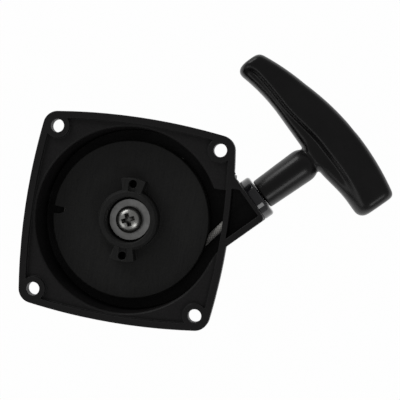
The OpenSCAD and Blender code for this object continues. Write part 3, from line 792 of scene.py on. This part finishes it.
def t_handle():
    bar, stem = grip_bar(), grip_stem()
    surfaces = [BVHTree.FromObject(part, bpy.context.evaluated_depsgraph_get()) for part in (bar, stem)]
    work_on(bar)
    stem.select_set(True)
    bpy.ops.object.join()
    handle = bar
    handle.name = handle.data.name = "t_handle"
    finish_with(handle, "REMESH", mode="VOXEL", voxel_size=VOXEL, adaptivity=0)
    near_both(handle, *surfaces, FILLET_REACH)
    finish_with(handle, "SMOOTH", factor=0.5, iterations=14, vertex_group="fillet")
    finish_with(handle, "SMOOTH", factor=0.5, iterations=26)
    for name, radius, start, end in HANDLE_BORES:
        cut_away(handle, rod_along_pull(name, radius, start, end))
    settle(handle, ON_PULL_LINE)
    smooth(handle, 40)
    handle.vertex_groups.clear()
    return handle


dress(t_handle(), "handle", grip_finish, "handle_grip")


# ---- rope ----
# Its path is worked out in the pull frame: x along the pull from the reel's axis, y to the left.

ROPE_HEIGHT = KNOT.z
TO_PULL_FRAME = Matrix.Rotation(PULL_ANGLE, 4, "Z")
KNOT_IN_PULL = TO_PULL_FRAME.inverted() @ KNOT
LEAVES_REEL = math.pi * 1.5 + ROPE_BEND
BRAID_DEPTH = 0.13 * MM
RAMP = 40 / 360                      # share of a turn in which the rope climbs to the next lay
STEPS_PER_TURN = 130
LINE_BEND = 16 * MM                  # radius of the rope's bend onto the pull line


def braid_relief(around, along):
    """How far the braid stands out, from place round the rope in yarns and along it in diamonds."""
    return abs(math.sin(math.pi * (around + along))) * abs(math.sin(math.pi * (around - along))) - 0.5


def rope_tube(name, path, lengths, around, relief, radial=1.0):
    """A braided tube on a path of points.

    lengths gives each ring's place along the braid and relief the braid's depth there. radial scales the
    tube's width in XY, so that a lay can fit beside the next one."""
    rings = []
    for i, point in enumerate(path):
        ahead = path[min(i + 1, len(path) - 1)] - path[max(i - 1, 0)]
        side = Vector((ahead.y, -ahead.x, 0)).normalized()
        rings.append((point, side))

    def place(j, i):
        point, side = rings[i]
        turn = 2 * math.pi * (j % around) / around
        out = ROPE_RADIUS + relief(i) * braid_relief(YARNS * (j % around) / around, lengths[i] / DIAMOND)
        return point + side * out * math.cos(turn) * radial + Vector((0, 0, out * math.sin(turn)))

    tube = woven_grid(name, around, len(path), place,
                      lambda j, i: (YARNS * j / around, lengths[i] / DIAMOND))
    close_tube(tube)
    smooth(tube, 60)
    return tube


def measured(path):
    """Place of each point along the path."""
    lengths = [0.0]
    for here, there in zip(path, path[1:]):
        lengths.append(lengths[-1] + (there - here).length)
    return lengths


def wound_rope():
    """Lays in one groove, each a ring that ramps out to the next one over the last part of its turn."""
    pitch = (OUTER_LAY - INNER_LAY) / (LAYS - 1)
    path = []
    for k in range(LAYS * STEPS_PER_TURN + 1):
        turns = k / STEPS_PER_TURN
        lay = min(int(turns), LAYS - 1)
        climb = smoothstep((turns - lay - 1 + RAMP) / RAMP) if lay < LAYS - 1 else 0
        radius = INNER_LAY + pitch * (lay + climb)
        angle = PULL_ANGLE + LEAVES_REEL - 2 * math.pi * (LAYS - turns)
        path.append(Vector((radius * math.cos(angle), radius * math.sin(angle), ROPE_HEIGHT)))
    return rope_tube("wound_rope", path, measured(path), around=16, relief=lambda i: 0,
                     radial=pitch / (2 * ROPE_RADIUS) - 0.01)


dress(wound_rope(), "reel", rope_finish, "rope_on_reel")

TUNNEL_START, TUNNEL_END = 43.5 * MM, 49.0 * MM      # the stretch of the pull line where the rope pays out


def lead_path():
    """From the reel straight to a gentle bend, and along the pull line to the knot.

    It also gives how many of its points come before the bend."""
    leave = Vector((OUTER_LAY * math.cos(LEAVES_REEL), OUTER_LAY * math.sin(LEAVES_REEL), 0))
    bend_x = leave.x + (KNOT_IN_PULL.y - leave.y) / math.tan(ROPE_BEND)
    tangent = LINE_BEND * math.tan(ROPE_BEND / 2)
    heading = Vector((math.cos(ROPE_BEND), math.sin(ROPE_BEND), 0))
    corner = Vector((bend_x, KNOT_IN_PULL.y, 0))
    bend_start = corner - heading * tangent
    straight = (bend_start - leave).length
    count = 190
    path = [leave + heading * straight * k / count for k in range(count)]
    centre = bend_start + Vector((heading.y, -heading.x, 0)) * LINE_BEND
    for k in range(6):
        turn = math.pi / 2 + ROPE_BEND * (1 - k / 6)
        path.append(centre + Vector((math.cos(turn), math.sin(turn), 0)) * LINE_BEND)
    for start, end, steps in ((corner.x + tangent, TUNNEL_START, 5), (TUNNEL_START, TUNNEL_END, 160),
                              (TUNNEL_END, KNOT_IN_PULL.x, 60)):
        path += [Vector((start + (end - start) * k / steps, KNOT_IN_PULL.y, 0)) for k in range(steps)]
    path.append(Vector((KNOT_IN_PULL.x, KNOT_IN_PULL.y, 0)))
    return path, count


def lead_rope():
    """The rope from the reel to the knot, and the two ends of the stretch where it pays out."""
    flat_path, relieved = lead_path()
    path = [TO_PULL_FRAME @ point + Vector((0, 0, ROPE_HEIGHT)) for point in flat_path]
    pull_range = joint_named("handle_pull")["range_m"][1]
    lengths = measured(path)
    stretched = [length + pull_range * smoothstep((point.x - TUNNEL_START) / (TUNNEL_END - TUNNEL_START))
                 for length, point in zip(lengths, flat_path)]
    rope = rope_tube("lead_rope", path, stretched, around=48,
                     relief=lambda i: BRAID_DEPTH if i < relieved else 0)
    dress(rope, "housing", rope_finish, "rope_lead", ride=False)
    at = [TO_PULL_FRAME @ Vector((x, KNOT_IN_PULL.y, 0)) + Vector((0, 0, ROPE_HEIGHT))
          for x in (TUNNEL_START, TUNNEL_END)]
    return rope, at


lead, (stretch_from, stretch_to) = lead_rope()
tuple(stretch_from)
tuple(stretch_to)
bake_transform(lead)
